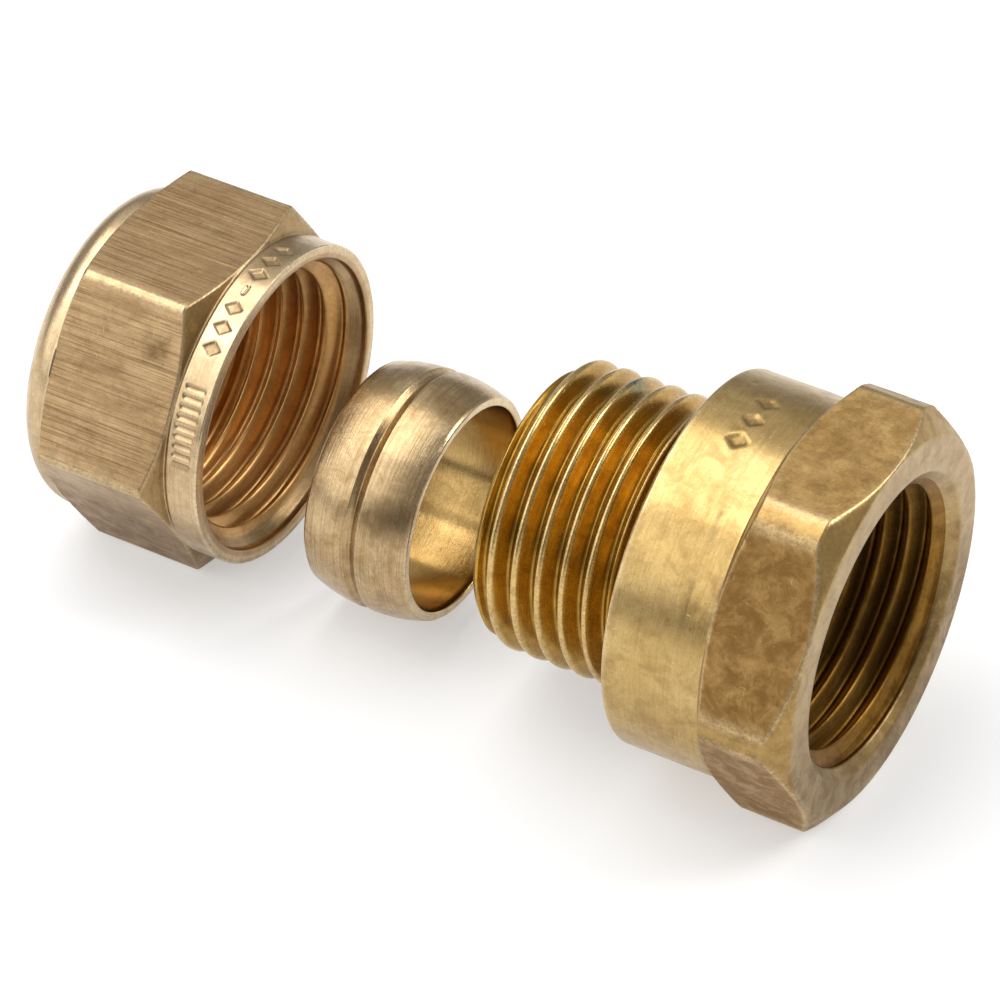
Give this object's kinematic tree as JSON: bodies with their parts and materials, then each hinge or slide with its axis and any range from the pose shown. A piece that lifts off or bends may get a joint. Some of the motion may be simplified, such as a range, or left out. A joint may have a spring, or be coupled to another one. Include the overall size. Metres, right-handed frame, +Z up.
{
  "type": "compression fitting",
  "caption": "Straight brass compression fitting laid out for assembly: hex body with outer and inner threads, grooved compression ring and hex compression nut.",
  "frame": {"origin": "middle of the laid-out pieces' box, on the surface they lie on", "axes": "+X along the body's axis from the nut towards the pipe end, +Z up"},
  "size_m": [0.0628, 0.0302, 0.027],
  "materials": {
    "body_brass": "turned and tumbled yellow brass, worn bright on the hex edges and oxidised brown on the flats",
    "nut_brass": "drawn hex bar with lengthwise scoring, turned bright at the mouth and rounded end",
    "ring_brass": "satin turned pale brass with fine lines round it"
  },
  "bodies": {
    "fitting": {"fitting_body": "body_brass"},
    "nut": {"compression_nut": "nut_brass"},
    "ring": {"compression_ring": "ring_brass"}
  },
  "joints": [
    {"name": "nut_slide", "type": "slide", "parent": "fitting", "child": "nut", "axis": [0.9928, -0.0798, 0.0889], "range_m": [0, 0.01855]},
    {"name": "ring_slide", "type": "slide", "parent": "fitting", "child": "ring", "axis": [0.8348, -0.1217, 0.5369], "range_m": [0, 0.00862]}
  ],
  "couplings": [
    {"joint": "ring_slide", "follows": "nut_slide", "ratio": 0.46485}
  ]
}
